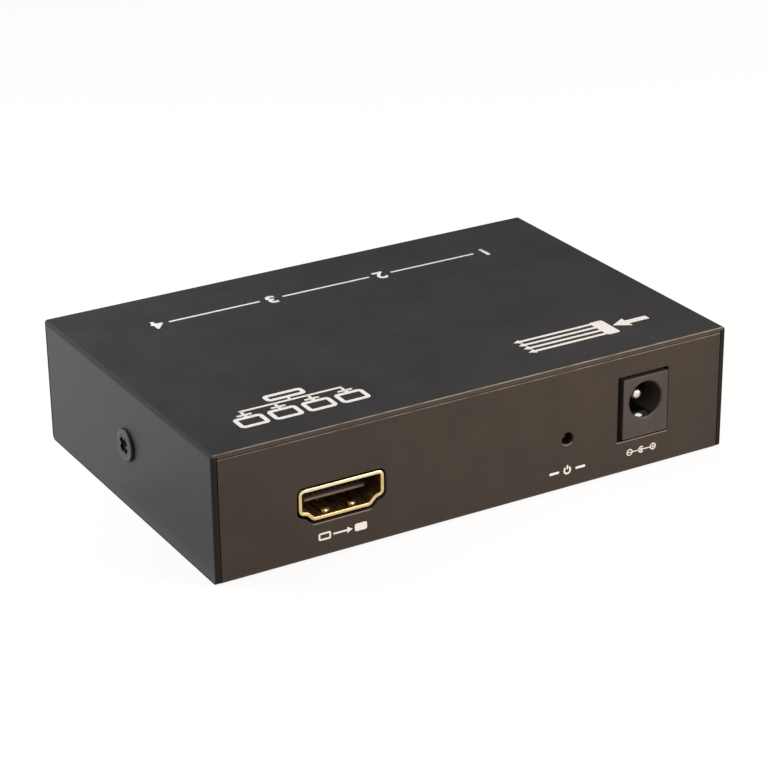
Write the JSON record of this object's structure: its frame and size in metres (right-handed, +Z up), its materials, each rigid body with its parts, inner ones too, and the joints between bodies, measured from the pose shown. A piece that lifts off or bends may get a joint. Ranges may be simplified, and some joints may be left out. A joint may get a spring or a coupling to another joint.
{
  "type": "video splitter",
  "caption": "Flat black metal box that splits one video input into several outputs, with a round power socket and a light beside the input.",
  "frame": {"origin": "middle of the underside, on the surface that the box stands on", "axes": "+X to the right seen from the front, +Y to the back, +Z up"},
  "size_m": [0.0962, 0.0626, 0.022],
  "materials": {
    "cover_coat": "fine black powder coat",
    "tray_coat": "fine black powder coat, slightly brown in the light",
    "black_steel": "black zinc plated screw steel",
    "plain_steel": "zinc plated steel",
    "board_green": "green solder mask over glass fibre laminate",
    "gold_plate": "gold flash over stamped bronze",
    "black_nylon": "moulded black nylon",
    "jack_plastic": "moulded black thermoplastic, half matt",
    "nickel_plate": "bright nickel plate",
    "spring_bronze": "nickel plated spring bronze",
    "led_lens": "diffused red epoxy, unlit",
    "tinned_copper": "bright tin plate",
    "chip_black": "black moulding compound",
    "bare_aluminium": "extruded aluminium, plain",
    "thermal_rubber": "grey-blue gap filler",
    "ferrite": "sintered ferrite",
    "can_aluminium": "drawn aluminium can",
    "ceramic_tan": "fired ceramic",
    "resistor_black": "glazed ceramic",
    "fuse_green": "epoxy coated polymer",
    "crystal_can": "seam welded steel can"
  },
  "bodies": {
    "case": {"base_tray": "tray_coat", "board_screws": "plain_steel", "board_standoffs": "plain_steel", "capacitor_bases": "black_nylon", "capacitor_cans": "can_aluminium", "circuit_board": "board_green", "controller_chip": "chip_black", "controller_chip_legs": "tinned_copper", "coupling_capacitor_ends": "tinned_copper", "coupling_capacitors": "ceramic_tan", "crystal": "crystal_can", "dc_jack_housing": "jack_plastic", "dc_jack_pin": "nickel_plate", "dc_jack_pin_terminal": "tinned_copper", "dc_jack_sleeve_terminal": "tinned_copper", "dc_jack_switch_terminal": "tinned_copper", "decoupling_capacitor_ends": "tinned_copper", "decoupling_capacitors": "ceramic_tan", "diode_tabs": "tinned_copper", "heat_sink": "bare_aluminium", "input_diode": "chip_black", "input_socket_contacts": "gold_plate", "input_socket_insulator": "black_nylon", "input_socket_shell": "gold_plate", "memory_chip_legs": "tinned_copper", "memory_chips": "chip_black", "output_socket_1_contacts": "gold_plate", "output_socket_1_insulator": "black_nylon", "output_socket_1_shell": "gold_plate", "output_socket_2_contacts": "gold_plate", "output_socket_2_insulator": "black_nylon", "output_socket_2_shell": "gold_plate", "output_socket_3_contacts": "gold_plate", "output_socket_3_insulator": "black_nylon", "output_socket_3_shell": "gold_plate", "output_socket_4_contacts": "gold_plate", "output_socket_4_insulator": "black_nylon", "output_socket_4_shell": "gold_plate", "power_inductor": "ferrite", "power_led": "led_lens", "power_led_holder": "black_nylon", "power_led_leads": "tinned_copper", "protection_arrays": "chip_black", "pullup_resistor_ends": "tinned_copper", "pullup_resistors": "resistor_black", "regulator_legs": "tinned_copper", "resettable_fuse": "fuse_green", "side_screws": "black_steel", "splitter_chip": "chip_black", "splitter_chip_legs": "tinned_copper", "thermal_pad": "thermal_rubber", "top_cover": "cover_coat", "voltage_regulators": "chip_black"},
    "jack_leaf": {"dc_jack_sleeve_leaf": "spring_bronze"}
  },
  "joints": [
    {"name": "jack_leaf_flex", "type": "hinge", "parent": "case", "child": "jack_leaf", "pos_m": [0.0316, -0.02125, 0.0084], "axis": [1, 0, 0], "range_deg": [0, 4], "stiffness_Nm_per_rad": 0.6}
  ]
}
